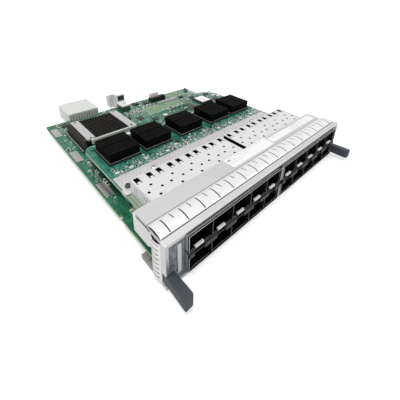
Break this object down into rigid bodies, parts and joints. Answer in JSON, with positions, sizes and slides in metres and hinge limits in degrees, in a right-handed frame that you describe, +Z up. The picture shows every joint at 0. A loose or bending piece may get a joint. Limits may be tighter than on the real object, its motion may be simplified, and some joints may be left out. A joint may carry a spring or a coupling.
{
  "type": "interface module",
  "caption": "Network interface module: pluggable port cages in a metal faceplate, stacked boards with finned heatsinks, a backplane socket and hinged ejector levers.",
  "frame": {"origin": "middle of the front of the faceplate, at the surface the module stands on", "axes": "+X along the faceplate, +Y from the faceplate to the backplane connector, +Z up"},
  "size_m": [0.1662, 0.2186, 0.0283],
  "materials": {
    "bare_metal": "matt bare metal",
    "black_anodised": "black anodised",
    "black_plastic": "black moulded plastic",
    "board_green": "green solder mask",
    "cage_metal": "plated cage sheet",
    "ceramic_parts": "small ceramic parts",
    "chip_black": "moulded chip body",
    "dark_plastic": "dark grey plastic",
    "faceplate_metal": "satin, lightly brushed",
    "grey_plastic": "light grey moulded plastic",
    "lever_plastic": "dark grey plastic",
    "panel_print": "blue grey printed panel",
    "sheet_metal": "bright plated sheet",
    "steel": "plated steel",
    "white_plastic": "white moulded plastic"
  },
  "bodies": {
    "card": {"backplane_socket": "white_plastic", "bar_connector": "grey_plastic", "bezel_left": "cage_metal", "bezel_right": "cage_metal", "bottom_plate": "sheet_metal", "edge_spacers": "steel", "end_strip": "white_plastic", "faceplate": "faceplate_metal", "ground_strip": "sheet_metal", "guide_block": "grey_plastic", "guide_pads": "sheet_metal", "header_pins": "steel", "heatsink_1": "black_anodised", "heatsink_2": "black_anodised", "heatsink_3": "black_anodised", "heatsink_4": "black_anodised", "heatsink_5": "black_anodised", "heatsink_bar": "bare_metal", "heatsink_frame": "bare_metal", "indicator_strip": "white_plastic", "lever_pin_left": "steel", "lever_pin_right": "steel", "light_guides": "white_plastic", "lower_cage_left": "cage_metal", "lower_cage_right": "cage_metal", "lower_port_contacts": "black_plastic", "main_board": "board_green", "main_board_parts": "ceramic_parts", "main_heatsink": "black_anodised", "memory_chip": "chip_black", "pin_header": "black_plastic", "port_board": "board_green", "port_board_parts": "ceramic_parts", "port_chip_1": "chip_black", "port_chip_2": "chip_black", "port_chip_3": "chip_black", "port_chip_4": "chip_black", "port_chip_5": "chip_black", "port_septa": "black_plastic", "port_tabs": "dark_plastic", "rail_left": "bare_metal", "rail_right": "bare_metal", "side_bracket_left": "sheet_metal", "side_bracket_right": "sheet_metal", "side_springs_left": "sheet_metal", "side_springs_right": "sheet_metal", "socket_wafers": "grey_plastic", "stack_plugs": "black_plastic", "stack_sockets": "black_plastic", "standoff_screws": "steel", "standoffs": "steel", "status_panel": "panel_print", "switch_chip": "chip_black", "top_plate": "sheet_metal", "top_springs": "sheet_metal", "upper_cage_left": "cage_metal", "upper_cage_right": "cage_metal", "upper_port_contacts": "black_plastic"},
    "lever_left": {"lever_left": "lever_plastic"},
    "lever_right": {"lever_right": "lever_plastic"}
  },
  "joints": [
    {"name": "lever_left_hinge", "type": "hinge", "parent": "card", "child": "lever_left", "pos_m": [-0.0799, 0.0015, 0.0061], "axis": [0, 0, -1], "range_deg": [0, 45]},
    {"name": "lever_right_hinge", "type": "hinge", "parent": "card", "child": "lever_right", "pos_m": [0.0799, 0.0015, 0.0061], "axis": [0, 0, 1], "range_deg": [0, 45]}
  ]
}
